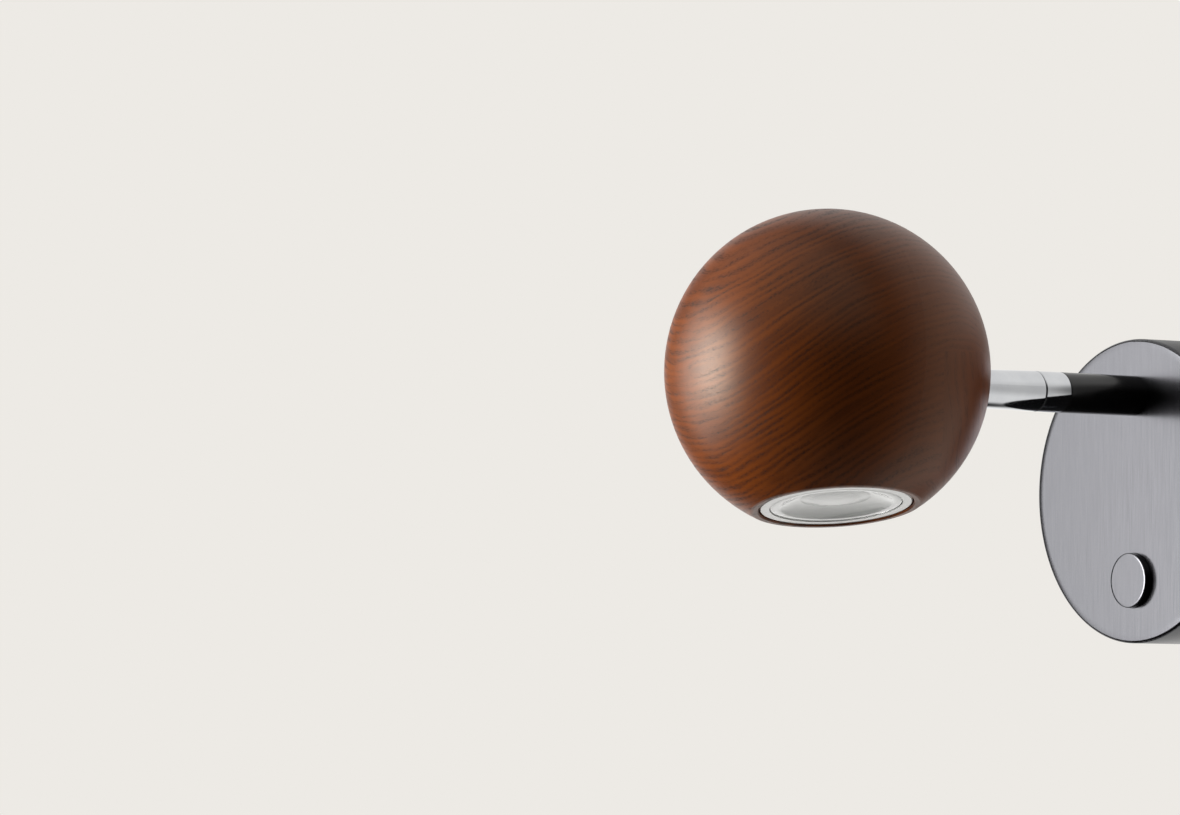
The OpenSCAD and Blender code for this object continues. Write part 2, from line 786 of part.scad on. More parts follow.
// Friction washers on both sides of the flange
module swivel_washers() {
    color(white_plastic) on_neck()
        for (start = [chamber_start + run_gap, chamber_end - run_gap - swivel_washer_t])
            translate([0, 0, start]) ring(swivel_flange_d, shank_d + 2 * run_gap, swivel_washer_t);
}

// Wooden ball: turned about the lamp's axis, bored for the lamp, with a stepped hole for the knuckle
module ball_profile() {
    mouth_r = sqrt(pow(ball_d / 2, 2) - pow(mouth_level, 2));
    difference() {
        intersection() {
            circle(d = ball_d);
            translate([0, -ball_d]) square([ball_d, ball_d + mouth_level]);
        }
        translate([mouth_r, mouth_level]) rotate([0, 0, -lip_slope])
            translate([-ball_d / 4, -lip_bevel * sin(lip_slope)]) square([ball_d / 2, lip_bevel]);
    }
}

module wood_ball() {
    color(walnut) difference() {
        on_lamp() difference() {
            rotate_extrude() ball_profile();
            translate([0, 0, cavity_top]) cylinder(r = cavity_r, h = mouth_level - cavity_top + over);
            translate([0, 0, mouth_level - lip_bevel - over])
                cylinder(r1 = cavity_r - over, r2 = cavity_r + lip_bevel + over, h = lip_bevel + 2 * over);
        }
        on_head() {
            translate([0, 0, -ball_d]) cylinder(d = socket_d + 2 * hole_gap, h = ball_d + socket_step);
            cylinder(d = tail_d + 2 * hole_gap, h = ball_reach - cavity_r / 2);
            translate([0, 0, strap_seat]) cylinder(d = spot_face_d, h = cavity_r);
            translate([-strap_w / 2 - hole_gap, -strap_foot - hole_gap, strap_seat])
                cube([strap_w + 2 * hole_gap, strap_foot + hole_gap - cavity_top, cavity_r]);
        }
    }
}

// Knuckle socket: a stepped bush with a slot for the tongue and a hollow threaded tail
module knuckle_socket() {
    color(steel) on_head() difference() {
        union() {
            translate([0, 0, socket_mouth]) cylinder(d = socket_d, h = socket_step - socket_mouth);
            translate([0, 0, socket_step - fuse]) cylinder(d = tail_d, h = tail_end - socket_step + fuse);
        }
        translate([-socket_slot_w / 2, -socket_slot / 2, socket_mouth - over])
            cube([socket_slot_w, socket_slot, slot_floor - socket_mouth + over]);
        translate([0, 0, slot_floor - over]) cylinder(d = tail_bore, h = tail_end - slot_floor + 2 * over);
        translate([-socket_d, 0, 0]) rotate([0, 90, 0])
            cylinder(d = knuckle_pin_d + 2 * thread_gap, h = 2 * socket_d);
    }
}

module knuckle_pin() {
    length = 2 * sqrt(pow(socket_d / 2, 2) - pow(knuckle_pin_d / 2, 2)) - 2 * fuse;
    color(steel) on_head() translate([-length / 2, 0, 0]) rotate([0, 90, 0])
        cylinder(d = knuckle_pin_d, h = length);
}

// Friction washers between the tongue and the slot's walls
module knuckle_washers() {
    color(white_plastic) on_head() for (side = [-1, 1])
        translate([side * (tongue_t / 2 + run_gap), 0, 0]) rotate([0, side * 90, 0])
            ring(stem_d - 1, knuckle_pin_d + 2 * run_gap, knuckle_washer_t);
}

// Ring nut inside the ball, on the socket's tail
module socket_nut() {
    color(brass) on_head() translate([0, 0, strap_seat + strap_t]) difference() {
        hexagon(ring_nut_d, ring_nut_t);
        translate([0, 0, -over]) cylinder(d = tail_d + 2 * thread_gap, h = ring_nut_t + 2 * over);
    }
}

// Bent strap: one leg under the ring nut, the other over the lampholder
module strap_outline() {
    reach = ball_reach + holder_d / 2;
    top = -strap_top;
    inner = strap_bend - strap_t;
    translate([strap_seat, -strap_foot]) square([strap_t, strap_foot + top - strap_bend]);
    translate([strap_seat + strap_bend, top - strap_t]) square([reach - strap_seat - strap_bend, strap_t]);
    translate([strap_seat + strap_bend, top - strap_bend]) intersection() {
        difference() {
            circle(r = strap_bend);
            circle(r = inner);
        }
        translate([-strap_bend, 0]) square([strap_bend, strap_bend]);
    }
}

module lamp_bracket() {
    color(steel) on_head() difference() {
        translate([strap_w / 2, 0, 0]) rotate([0, -90, 0]) linear_extrude(strap_w) strap_outline();
        translate([0, 0, strap_seat - over]) cylinder(d = tail_d + 2 * hole_gap, h = strap_t + 2 * over);
        translate([0, -strap_top + over, 0]) rotate([90, 0, 0]) {
            translate([lead_hole[0], lead_hole[1], 0])
                cylinder(d = head_lead_d + 4 * hole_gap, h = strap_t + 2 * over);
            translate([0, ball_reach, 0]) cylinder(d = tail_bore, h = strap_t + 2 * over);
            for (side = [-1, 1])
                translate([side * holder_screw_spacing / 2, ball_reach, 0])
                    cylinder(d = holder_screw_d + 2 * hole_gap, h = strap_t + 2 * over);
        }
    }
}

// Twist-lock holder: two keyhole slots in its front and a wider chamber behind each
module lampholder() {
    color(ceramic) on_lamp() difference() {
        translate([0, 0, holder_back]) cylinder(d = holder_d, h = holder_h);
        for (half = [0, 180]) rotate([0, 0, half]) {
            translate([0, 0, chamber_floor])
                arc_slot(
                    pin_spacing / 2, lamp_head_d + 2 * pin_room, twist, holder_front - lip_t - chamber_floor
                );
            translate([0, 0, holder_front - lip_t - fuse])
                arc_slot(pin_spacing / 2, lamp_pin_d + 2 * pin_room, twist, lip_t + fuse + over);
            rotate([0, 0, twist]) translate([pin_spacing / 2, 0, holder_front - lip_t - fuse])
                cylinder(d = lamp_head_d + pin_room, h = lip_t + fuse + over);
        }
        for (side = [-1, 1])
            translate([side * holder_screw_spacing / 2, 0, holder_back - over])
                cylinder(d = holder_screw_d + 2 * thread_gap, h = 6 + over);
    }
}

// Screws through the strap into the holder's back
module holder_screws() {
    color(steel) on_lamp() for (side = [-1, 1])
        translate([side * holder_screw_spacing / 2, 0, strap_top]) rotate([180, 0, 0])
            slotted_screw(holder_screw_d, strap_t + 5, holder_head_t);
}

// Contact springs on the floors of the holder's chambers
module holder_contacts() {
    color(brass) on_lamp() for (half = [0, 180]) rotate([0, 0, half]) translate([0, 0, chamber_floor])
        arc_slot(pin_spacing / 2, lamp_head_d, twist, contact_t);
}

// Lead from the knuckle through the tail, past the strap and into the holder's back
module head_lead() {
    color(black_plastic) on_head() tube(head_route, head_lead_d, lead_sides, [1, 0, 0]);
}

// Lamp body: rim, tapered bowl and base, hollow from the front for the lens and the board
module lamp_profile() {
    bowl_end = lamp_back + lamp_base_l;
    rim_back = lamp_drop - rim_h;
    polygon([
        [0, lamp_back], [lamp_base_d / 2 - 1, lamp_back], [lamp_base_d / 2, lamp_back + 1],
        [lamp_base_d / 2, bowl_end], [lamp_base_d / 2 + 2.5, bowl_end + 3], [lamp_d / 2 - 2, rim_back - 2],
        [lamp_d / 2, rim_back], [lamp_d / 2, lamp_drop - 0.4], [lamp_d / 2 - 0.4, lamp_drop],
        [lens_d / 2 + lens_gap, lamp_drop], [lens_d / 2 + lens_gap, lamp_drop - lens_t - lens_gap],
        [lens_d / 2 - 1.4, lamp_drop - lens_t - lens_gap], [board_r + 0.1, board_level], [0, board_level]
    ]);
}

module lamp_body() {
    color(white_plastic) on_lamp() rotate_extrude() lamp_profile();
}

// Clear lens: flat flange, shallow dish and middle dome in front, a tapering body behind
module lens_profile() {
    front = lamp_drop - 0.2;
    back = front - lens_t + 0.2;
    dish_edge = lens_d / 2 - 3;
    dome_r = dome_d / 2;
    dome_rise = 2;
    dome_curve = (dome_r * dome_r + dome_rise * dome_rise) / (2 * dome_rise);
    dome_base = front - dish_depth;
    polygon([
        [0, board_level + board_t + 2.6], [lens_foot_r, board_level + board_t + 0.6],
        [lens_d / 2 - 5.5, back], [lens_d / 2, back], [lens_d / 2, front], [dish_edge, front],
        [dome_r, dome_base], [0, dome_base]
    ]);
    intersection() {
        translate([0, dome_base + dome_rise - dome_curve]) circle(r = dome_curve);
        translate([0, dome_base - fuse]) square([dome_r, dome_rise + fuse]);
    }
}

module lamp_lens() {
    color(clear) on_lamp() rotate_extrude() lens_profile();
}

// Board on the bowl's floor, with the light source in its middle
module lamp_board() {
    color(white_plastic) on_lamp() translate([0, 0, board_level]) {
        cylinder(r = board_r, h = board_t);
        cylinder(r = lens_foot_r - 1.5, h = board_t + 0.5);
    }
}

// Headed pins of the twist-lock base
module lamp_pins() {
    color(steel) on_lamp() for (half = [0, 180])
        rotate([0, 0, half]) translate([pin_spacing / 2, 0, lamp_back]) {
        translate([0, 0, -lamp_pin_len]) cylinder(d = lamp_pin_d, h = lamp_pin_len);
        translate([0, 0, -lamp_pin_len]) cylinder(d = lamp_head_d, h = lamp_head_t);
    }
}

base_cover();
wall_bracket();
cover_screws();
terminal_block();
terminal_screws();
block_screws();
earth_screw();
switch_body();
switch_screws();
switch_terminals();
switch_leads();
arm_tube();
arm_collar();
arm_nipple();
arm_washer();
arm_nut();
stop_pin();
supply_lead();
button_cap();
switch_spring();
neck_tube();
swivel_pin();
swivel_washers();
wood_ball();
knuckle_socket();
knuckle_pin();
knuckle_washers();
socket_nut();
lamp_bracket();
lampholder();
holder_screws();
holder_contacts();
head_lead();
lamp_body();
lamp_lens();
lamp_board();
lamp_pins();
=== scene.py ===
"""Wall sconce: a stained wooden ball on a short metal arm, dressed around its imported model."""
import math

import bmesh
import bpy
from mathutils import Matrix, Vector


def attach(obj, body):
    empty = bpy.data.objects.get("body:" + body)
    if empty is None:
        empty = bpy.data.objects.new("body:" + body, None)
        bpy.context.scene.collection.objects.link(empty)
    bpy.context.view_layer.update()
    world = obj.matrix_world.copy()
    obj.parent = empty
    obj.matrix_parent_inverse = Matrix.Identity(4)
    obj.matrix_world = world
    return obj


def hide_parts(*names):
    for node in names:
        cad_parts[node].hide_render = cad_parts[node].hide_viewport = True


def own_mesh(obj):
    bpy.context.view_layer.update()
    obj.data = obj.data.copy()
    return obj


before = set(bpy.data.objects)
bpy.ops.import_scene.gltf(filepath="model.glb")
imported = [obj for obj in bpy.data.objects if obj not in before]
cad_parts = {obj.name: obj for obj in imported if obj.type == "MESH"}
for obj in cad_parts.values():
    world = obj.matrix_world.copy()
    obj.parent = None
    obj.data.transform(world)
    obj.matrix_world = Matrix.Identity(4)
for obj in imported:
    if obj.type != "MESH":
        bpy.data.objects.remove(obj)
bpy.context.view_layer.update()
scene = bpy.context.scene
scene.view_settings.view_transform = "Standard"
mm = 0.001

# Camera: a long lens, level with the arm and well to the right of it, looking a little upwards.
# The picture is taken to be 1180 by 815, and its focal length in pixels sets the lens.
picture_width = 1180
focal_pixels = 6332.2
eye = Vector((1.65331, -1.40161, -0.08807))
sight = Vector((-0.820315, 0.569388, 0.053761)).normalized()
roll = math.radians(0.3444)
level = sight.cross(Vector((0, 0, 1))).normalized()
plumb = level.cross(sight)
right = level * math.cos(roll) + plumb * math.sin(roll)
up = plumb * math.cos(roll) - level * math.sin(roll)
lens = bpy.data.cameras.new("camera")
lens.sensor_width = 36
lens.lens = lens.sensor_width * focal_pixels / picture_width
lens.clip_end = 50
camera = bpy.data.objects.new("camera", lens)
camera.matrix_world = Matrix.Translation(eye) @ Matrix((right, up, -sight)).transposed().to_4x4()
scene.collection.objects.link(camera)
scene.camera = camera


# Studio: the lamp hangs on a pale wall and is lit from the left by a bright strip in a broad soft box.
# The camera sees one plain pale colour, and the wall only shows in what the metal mirrors.
def linear(hex_colour):
    """sRGB hex to linear red, green, blue and alpha."""
    parts = [int(hex_colour[i:i + 2], 16) / 255 for i in (1, 3, 5)]
    return [c / 12.92 if c <= 0.04045 else ((c + 0.055) / 1.055) ** 2.4 for c in parts] + [1]


def add(tree, kind, inputs={}, **settings):
    """Add a node. Its inputs are values or other nodes' outputs, by name or number."""
    made = tree.nodes.new(kind)
    for name, value in settings.items():
        setattr(made, name, value)
    for socket, value in inputs.items():
        if isinstance(value, bpy.types.NodeSocket):
            tree.links.new(value, made.inputs[socket])
        else:
            made.inputs[socket].default_value = value
    return made


backdrop = linear("#EDEAE5")
room_level = 0.03
back_level = 0.7
ceiling_level = 0.65
world = bpy.data.worlds.new("studio")
world.use_nodes = True
scene.world = world
tree = world.node_tree
tree.nodes.clear()
heading = add(tree, "ShaderNodeTexCoord")
way = add(tree, "ShaderNodeSeparateXYZ", {0: heading.outputs["Generated"]})
behind = add(
    tree,
    "ShaderNodeMapRange",
    {"Value": way.outputs["Y"], "From Min": 0, "From Max": 0.2, "To Min": room_level, "To Max": back_level},
)
overhead = add(
    tree,
    "ShaderNodeMapRange",
    {"Value": way.outputs["Z"], "From Min": 0.3, "From Max": 0.75, "To Min": 0, "To Max": ceiling_level},
)
levels = add(
    tree,
    "ShaderNodeMath",
    {0: behind.outputs["Result"], 1: overhead.outputs["Result"]},
    operation="ADD",
)
room = add(tree, "ShaderNodeBackground", {"Color": linear("#FDFCFA"), "Strength": levels.outputs[0]})
sweep = add(tree, "ShaderNodeBackground", {"Color": backdrop, "Strength": 1})
path = add(tree, "ShaderNodeLightPath")
seen = add(
    tree,
    "ShaderNodeMath",
    {0: path.outputs["Is Camera Ray"], 1: path.outputs["Is Transmission Ray"]},
    operation="MAXIMUM",
)
shown = add(tree, "ShaderNodeMixShader", {0: seen.outputs[0], 1: room.outputs[0], 2: sweep.outputs[0]})
add(tree, "ShaderNodeOutputWorld", {"Surface": shown.outputs[0]})

ball_centre = Vector((-0.000648, -0.159193, 0.035355))


def soft_light(name, way, distance, width, height, power):
    """Area light that faces the ball from a distance along a way."""
    data = bpy.data.lights.new(name, "AREA")
    data.shape = "RECTANGLE"
    data.size = width
    data.size_y = height
    data.energy = power
    lamp = bpy.data.objects.new(name, data)
    lamp.location = ball_centre + Vector(way).normalized() * distance
    lamp.rotation_euler = (-Vector(way)).to_track_quat("-Z", "Y").to_euler()
    scene.collection.objects.link(lamp)


soft_light("strip", (-0.53, -0.848, 0.045), distance=0.8, width=0.38, height=0.46, power=7.2)
soft_light("soft_box", (-0.7, -0.714, 0), distance=0.82, width=0.66, height=0.94, power=6.8)


def sheet(name, place, half):
    """Large flat square of the studio."""
    shape = bmesh.new()
    bmesh.ops.create_grid(shape, x_segments=8, y_segments=8, size=half, matrix=place)
    mesh = bpy.data.meshes.new(name)
    shape.to_mesh(mesh)
    shape.free()
    flat = bpy.data.objects.new(name, mesh)
    scene.collection.objects.link(flat)
    return flat


floor = sheet("floor", Matrix.Translation((0, 0, -1.5)), 1.2)
floor.visible_glossy = False
wall = sheet("wall", Matrix.Translation((0, 0.3 * mm, 0)) @ Matrix.Rotation(math.radians(90), 4, "X"), 2.5)
wall.visible_camera = False


def finish_of(name, colour, roughness, metallic=0):
    """New material with its node tree and its shader."""
    material = bpy.data.materials.new(name)
    material.use_nodes = True
    shader = material.node_tree.nodes["Principled BSDF"]
    shader.inputs["Base Color"].default_value = linear(colour)
    shader.inputs["Roughness"].default_value = roughness
    shader.inputs["Metallic"].default_value = metallic
    return material, material.node_tree, shader


def open_from_behind(tree, front):
    """Let a sheet of the studio show from its front alone."""
    back = add(tree, "ShaderNodeBsdfTransparent").outputs[0]
    side = add(tree, "ShaderNodeNewGeometry").outputs["Backfacing"]
    sided = add(tree, "ShaderNodeMixShader", {0: side, 1: front, 2: back}).outputs[0]
    tree.links.new(sided, tree.nodes["Material Output"].inputs["Surface"])


floor_paint, tree, shader = finish_of("matt_floor_paint", "#EDEAE5", 0.9)
open_from_behind(tree, shader.outputs[0])
floor.data.materials.append(floor_paint)

wall_level = 0.83
# Level of the painted pool of brighter light on the wall.
painted_patch_level = 1.5
glow, tree, shader = finish_of("glowing_wall_painted_shade", "#FDFCFA", 0.9)
on_sheet = add(tree, "ShaderNodeTexCoord").outputs["Object"]


def fade(centre, near, far, inner, outer):
    """Soft round field on the wall, with one level within a distance of its centre and another outside."""
    reach = add(tree, "ShaderNodeVectorMath", {0: on_sheet, 1: centre}, operation="DISTANCE").outputs["Value"]
    limits = {"Value": reach, "From Min": near, "From Max": far, "To Min": inner, "To Max": outer}
    return add(tree, "ShaderNodeMapRange", limits, interpolation_type="SMOOTHSTEP").outputs["Result"]


# The wall glows by its own emission: bright on the left, with a painted pool of brighter light in it.
# The soft dark fields to the right of the drum, above it and below it are painted shadows, not cast by
# the lamp: they are drawn for what the metal mirrors.
painted_fields = [
    fade((-300 * mm, 0, 20 * mm), 0.38, 0.85, wall_level, 0),
    fade((-320 * mm, 0, -20 * mm), 0.14, 0.28, painted_patch_level, 1),
    fade((105 * mm, 0, 36 * mm), 0.015, 0.095, 0.68, 1),
    fade((50 * mm, 0, 40 * mm), 0.03, 0.055, 0.35, 1),
    fade((-10 * mm, 0, 62 * mm), 0.015, 0.05, 0.5, 1),
    fade((-52 * mm, 0, -112 * mm), 0.02, 0.085, 0.05, 1),
]
# The painted light and painted shadows multiply into the strength of the wall's glow.
painted_wall_light = painted_fields[0]
for field in painted_fields[1:]:
    painted_wall_light = add(tree, "ShaderNodeMath", {0: painted_wall_light, 1: field}, operation="MULTIPLY").outputs[0]
bright_front = add(tree, "ShaderNodeEmission", {"Color": linear("#FDFCFA"), "Strength": painted_wall_light})
tree.nodes.remove(shader)
open_from_behind(tree, bright_front.outputs[0])
wall.data.materials.append(glow)


# Wall bracket: pressed from steel sheet and zinc plated, with slots for the wall screws.
# The plating is a pale blue-grey with soft blotches and a fine grain from the rolled sheet.
def dress(material, *names):
    """Give solids of the frame their finish."""
    for name in names:
        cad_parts[name].material_slots[0].material = material


def surface(tree, shader, speck, colours, roughness, bump, vector=None):
    """Let noise of one speck size vary a shader's colour and roughness, and raise its surface a little."""
    if vector is None:
        vector = add(tree, "ShaderNodeTexCoord").outputs["Object"]
    grit = {"Vector": vector, "Scale": 1 / speck, "Detail": 4, "Roughness": 0.55}
    noise = add(tree, "ShaderNodeTexNoise", grit).outputs["Fac"]
    spread = {"Value": noise, "From Min": 0.3, "From Max": 0.7}
    even = add(tree, "ShaderNodeMapRange", spread)
    tone = add(
        tree,
        "ShaderNodeMix",
        {0: even.outputs["Result"], 6: linear(colours[0]), 7: linear(colours[1])},
        data_type="RGBA",
    )
    rough = add(tree, "ShaderNodeMapRange", {**spread, "To Min": roughness[0], "To Max": roughness[1]})
    raised = add(tree, "ShaderNodeBump", {"Height": noise, "Strength": bump, "Distance": 0.1 * mm})
    tree.links.new(tone.outputs[2], shader.inputs["Base Color"])
    tree.links.new(rough.outputs["Result"], shader.inputs["Roughness"])
    tree.links.new(raised.outputs[0], shader.inputs["Normal"])


zinc, tree, shader = finish_of("zinc_plated_steel", "#B4B6B8", 0.36, 1)
surface(tree, shader, 4 * mm, ("#A8ABAE", "#C2C4C5"), (0.3, 0.42), 0.08)
dress(zinc, "wall_bracket", "block_screws", "terminal_screws", "switch_screws")

# Terminals: a three-pole block moulded in white nylon on two screws, with a brass earth screw beside it.
# Moulded nylon is slightly warm and faintly mottled, and turned brass is a soft yellow.
moulded_nylon, tree, shader = finish_of("moulded_white_nylon", "#E9E7DF", 0.45)
surface(tree, shader, 0.8 * mm, ("#E4E2D9", "#EEECE5"), (0.4, 0.52), 0.15)
dress(moulded_nylon, "terminal_block")
brass, tree, shader = finish_of("turned_brass", "#C8A45C", 0.3, 1)
surface(tree, shader, 1.5 * mm, ("#B8934A", "#D4B26C"), (0.24, 0.36), 0.06)
dress(brass, "earth_screw")

# Push switch: moulded in black phenolic, screwed behind the drum's face, with two brass blades.
# Phenolic is a near-black with a low sheen and a faint cloudy fleck.
phenolic, tree, shader = finish_of("black_phenolic", "#1A1A1B", 0.42)
surface(tree, shader, 1.2 * mm, ("#141415", "#242425"), (0.36, 0.5), 0.12)
dress(phenolic, "switch_body")
dress(brass, "switch_terminals")

# Switch leads: two insulated wires from the blades to the terminal block, each pushed on by its end.
# Soft PVC has a low sheen and a slightly uneven drawn surface.
on_wall = Matrix.Rotation(math.radians(90), 4, "X")


def lead(name, place, runs):
    """Round wires in one piece. Each run has its points in millimetres, its diameter and its finish."""
    wires = bpy.data.curves.new(name, "CURVE")
    wires.dimensions = "3D"
    wires.bevel_depth = 0.5 * mm
    wires.bevel_resolution = 4
    wires.resolution_u = 8
    wires.use_fill_caps = True
    for number, (points, diameter, finish) in enumerate(runs):
        wires.materials.append(finish)
        spline = wires.splines.new("BEZIER")
        spline.bezier_points.add(len(points) - 1)
        spline.material_index = number
        for knot, point in zip(spline.bezier_points, points):
            knot.co = place @ (Vector(point) * mm)
            knot.handle_left_type = "AUTO"
            knot.handle_right_type = "AUTO"
            knot.radius = diameter
    piece = bpy.data.objects.new(name, wires)
    scene.collection.objects.link(piece)
    return piece


def insulation(name, dark, light):
    """Drawn PVC in one colour."""
    material, tree, shader = finish_of(name, dark, 0.45)
    surface(tree, shader, 0.6 * mm, (dark, light), (0.38, 0.52), 0.1)
    return material


black_pvc = insulation("black_pvc_sheath", "#161617", "#202021")
brown_pvc = insulation("brown_pvc_insulation", "#4A2C1A", "#573521")
blue_pvc = insulation("blue_pvc_insulation", "#1D4E86", "#265C97")
switch_route = [(6.5, -16.4, 14.3), (6.8, -13, 13.5), (8.4, -8, 11.5), (9, -3, 10.6), (9, 3.7, 10.5)]
switch_wires = lead(
    "switch_wires",
    on_wall,
    [([(side * x, y, z) for x, y, z in switch_route], 2, brown_pvc) for side in (-1, 1)],
)
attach(switch_wires, "base")
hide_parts("switch_leads")

# Arm fixing: a hollow nipple through the drum's face, with a washer and a brass nut behind it.
# A small steel pin in the arm's end stops the neck before the lead is twisted.
dress(zinc, "arm_nipple", "arm_washer", "stop_pin")
dress(brass, "arm_nut")

# Supply lead: a sheathed two-core lead from the terminal block through the arm and the neck.
# Its cores are bared for the last few millimetres at the block.
supply_route = [
    (0, 32.2, 103.5), (0, 32.2, 80), (0, 32.2, 55), (0, 32.2, 22.5), (0, 31.4, 18.5), (0, 29, 14.5),
    (0, 26.6, 12.4),
]
core_route = [(0.95, 28, 13.6), (0.95, 25, 11.5), (0.95, 22.6, 10.8), (0.95, 20.3, 10.5)]
supply_wires = lead(
    "supply_wires",
    on_wall,
    [
        (supply_route, 4.2, black_pvc),
        (core_route, 1.7, brown_pvc),
        ([(-x, y, z) for x, y, z in core_route], 1.7, blue_pvc),
    ],
)
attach(supply_wires, "base")
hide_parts("supply_lead")

# Arm: a turned tube in satin black lacquer, screwed against the drum.
# It shows the bright wall as a grey sheen along its upper edge and is black below.
black_lacquer, tree, shader = finish_of("satin_black_lacquer", "#050505", 0.19)
shader.inputs["IOR"].default_value = 1.6
surface(tree, shader, 3 * mm, ("#040404", "#060606"), (0.17, 0.21), 0.02)
dress(black_lacquer, "arm_tube")

# Collar and neck: turned brass, polished and chromium plated. The neck turns on a pin inside the collar.
# Polished chrome is a cool mirror with only a trace of handling in its gloss, and the washers are plain
# nylon, a dull cream.
chrome, tree, shader = finish_of("polished_chrome", "#DCDEE2", 0.05, 1)
surface(tree, shader, 9 * mm, ("#D8DADE", "#E1E3E6"), (0.035, 0.065), 0.004)
dress(chrome, "arm_collar", "neck_tube")
dress(zinc, "swivel_pin")
natural_nylon, tree, shader = finish_of("natural_nylon", "#E4DFD0", 0.45)
surface(tree, shader, 0.7 * mm, ("#DED8C7", "#EAE6D9"), (0.4, 0.52), 0.1)
dress(natural_nylon, "swivel_washers")

# Drum: steel pressed to a shallow drum, its face brushed upright and plated a dark graphite.
# The brush marks, about 0.1 mm apart, are drawn coarser, and the face falls away a little at its edge.
brush_spacing = 0.35 * mm
brush_length = 14 * mm
graphite, tree, shader = finish_of("brushed_graphite_plating", "#58585B", 0.2, 1)
place = add(tree, "ShaderNodeTexCoord").outputs["Object"]
upright = (1, 1, brush_spacing / brush_length)
brushed = add(tree, "ShaderNodeMapping", {"Vector": place, "Scale": upright}).outputs[0]
surface(tree, shader, brush_spacing, ("#555558", "#5B5B5E"), (0.18, 0.22), 0.012, brushed)


def rolled_edge(centre, inner, outer, depth):
    """Let the graphite's surface fall away a little between two radii around an axis through the wall."""
    flat = add(tree, "ShaderNodeVectorMath", {0: place, 1: (1, 0, 1)}, operation="MULTIPLY").outputs[0]
    reach = add(tree, "ShaderNodeVectorMath", {0: flat, 1: centre}, operation="DISTANCE").outputs["Value"]
    run = add(tree, "ShaderNodeMapRange", {"Value": reach, "From Min": inner, "From Max": outer})
    fall = add(tree, "ShaderNodeMath", {0: run.outputs["Result"], 1: 2}, operation="POWER").outputs[0]
    before = shader.inputs["Normal"].links[0].from_socket
    inputs = {"Height": fall, "Strength": 1, "Distance": depth, "Normal": before}
    tree.links.new(add(tree, "ShaderNodeBump", inputs, invert=True).outputs[0], shader.inputs["Normal"])


rolled_edge((0, 0, 0), inner=48.3 * mm, outer=51.5 * mm, depth=0.3 * mm)
rolled_edge((0, 0, -30.3 * mm), inner=8.2 * mm, outer=9.25 * mm, depth=0.16 * mm)
dress(graphite, "base_cover")

# Set screws of the drum: blackened steel, screwed through its sides into the bracket's lugs.
# Blackening leaves a dark, slightly brownish grey that wears a little lighter in patches.
blackened, tree, shader = finish_of("blackened_steel", "#2A2928", 0.36, 1)
surface(tree, shader, 2 * mm, ("#232221", "#343331"), (0.3, 0.45), 0.08)
dress(blackened, "cover_screws")

# Push button: a turned cap with a flange behind the face, plated as the drum is.
# Its return spring is wound from zinc plated wire and shortens as the button goes in;
# here it is built at one length and stays so.
dress(graphite, "button_cap")
spring_radius = 3.8 * mm
spring_wire = 0.6 * mm
spring_turns = 3
spring_steps = 28
spring_foot = Vector((0, -22.85 * mm, -30.3 * mm))
spring_rise = 4.05 * mm
shape = bmesh.new()
bmesh.ops.create_circle(
    shape,
    cap_ends=True,
    segments=12,
    radius=spring_wire / 2,
    matrix=Matrix.Translation((spring_radius, 0, 0)),
)
bmesh.ops.translate(shape, verts=shape.verts, vec=spring_foot)
bmesh.ops.spin(
    shape,
    geom=shape.verts[:] + shape.edges[:] + shape.faces[:],
    cent=spring_foot,
    axis=(0, -1, 0),
    dvec=(0, -spring_rise / (spring_turns * spring_steps), 0),
    angle=2 * math.pi * spring_turns,
    steps=spring_turns * spring_steps,
)


def piece_of(name, shape, *finishes):
    """Finish a bmesh as a smooth piece of the lamp."""
    bmesh.ops.remove_doubles(shape, verts=shape.verts, dist=0.001 * mm)
    bmesh.ops.recalc_face_normals(shape, faces=shape.faces)
    mesh = bpy.data.meshes.new(name)
    shape.to_mesh(mesh)
    shape.free()
    mesh.shade_smooth()
    for finish in finishes:
        mesh.materials.append(finish)
    piece = bpy.data.objects.new(name, mesh)
    scene.collection.objects.link(piece)
    return piece


return_spring = piece_of("return_spring", shape, zinc)
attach(return_spring, "base")
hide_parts("switch_spring")
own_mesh(return_spring)

# Ball: turned from glued ash, stained red-brown and lacquered to a satin.
# Stain gathers in each year's early wood, a soft dark band with rows of darker pores in it.
# The pores, about 0.25 mm wide, are drawn a little wider so that they show.
ring_spacing = 2.7
pore_length = 1
pore_width = 0.36
band_depth = 0.74
pore_depth = 0.8
wood, tree, shader = finish_of("stained_ash", "#6E3306", 0.42)
shader.inputs["Specular IOR Level"].default_value = 0.42
shader.inputs["Specular Tint"].default_value = linear("#FFF3DE")
place = add(tree, "ShaderNodeTexCoord").outputs["Object"]
board = add(
    tree,
    "ShaderNodeMapping",
    {
        "Vector": place,
        "Location": (131.2, -39.86, -88.27),
        "Rotation": [math.radians(turn) for turn in (-95.06, -55.16, 4.16)],
        "Scale": (1000, 1000, 1000),
    },
).outputs[0]
axes = add(tree, "ShaderNodeSeparateXYZ", {0: board})
across, height, depth = axes.outputs["X"], axes.outputs["Y"], axes.outputs["Z"]
wander = add(tree, "ShaderNodeTexNoise", {"Vector": board, "Scale": 0.028, "Detail": 2}).outputs["Fac"]
twist = add(tree, "ShaderNodeMath", {0: across, 1: depth}, operation="MULTIPLY").outputs[0]
layers, side_field, along = [
    add(tree, "ShaderNodeVectorMath", {0: board, 1: slope}, operation="DOT_PRODUCT").outputs["Value"]
    for slope in ((-0.33, 1, -0.14), (1, 0.12, 0), (0.88, 0.47, 0))
]
twisted = {0: twist, 1: -0.007, 2: layers}
main_field = add(tree, "ShaderNodeMath", twisted, operation="MULTIPLY_ADD").outputs[0]
far_side = add(tree, "ShaderNodeMath", {0: across, 1: 36}, operation="GREATER_THAN").outputs[0]
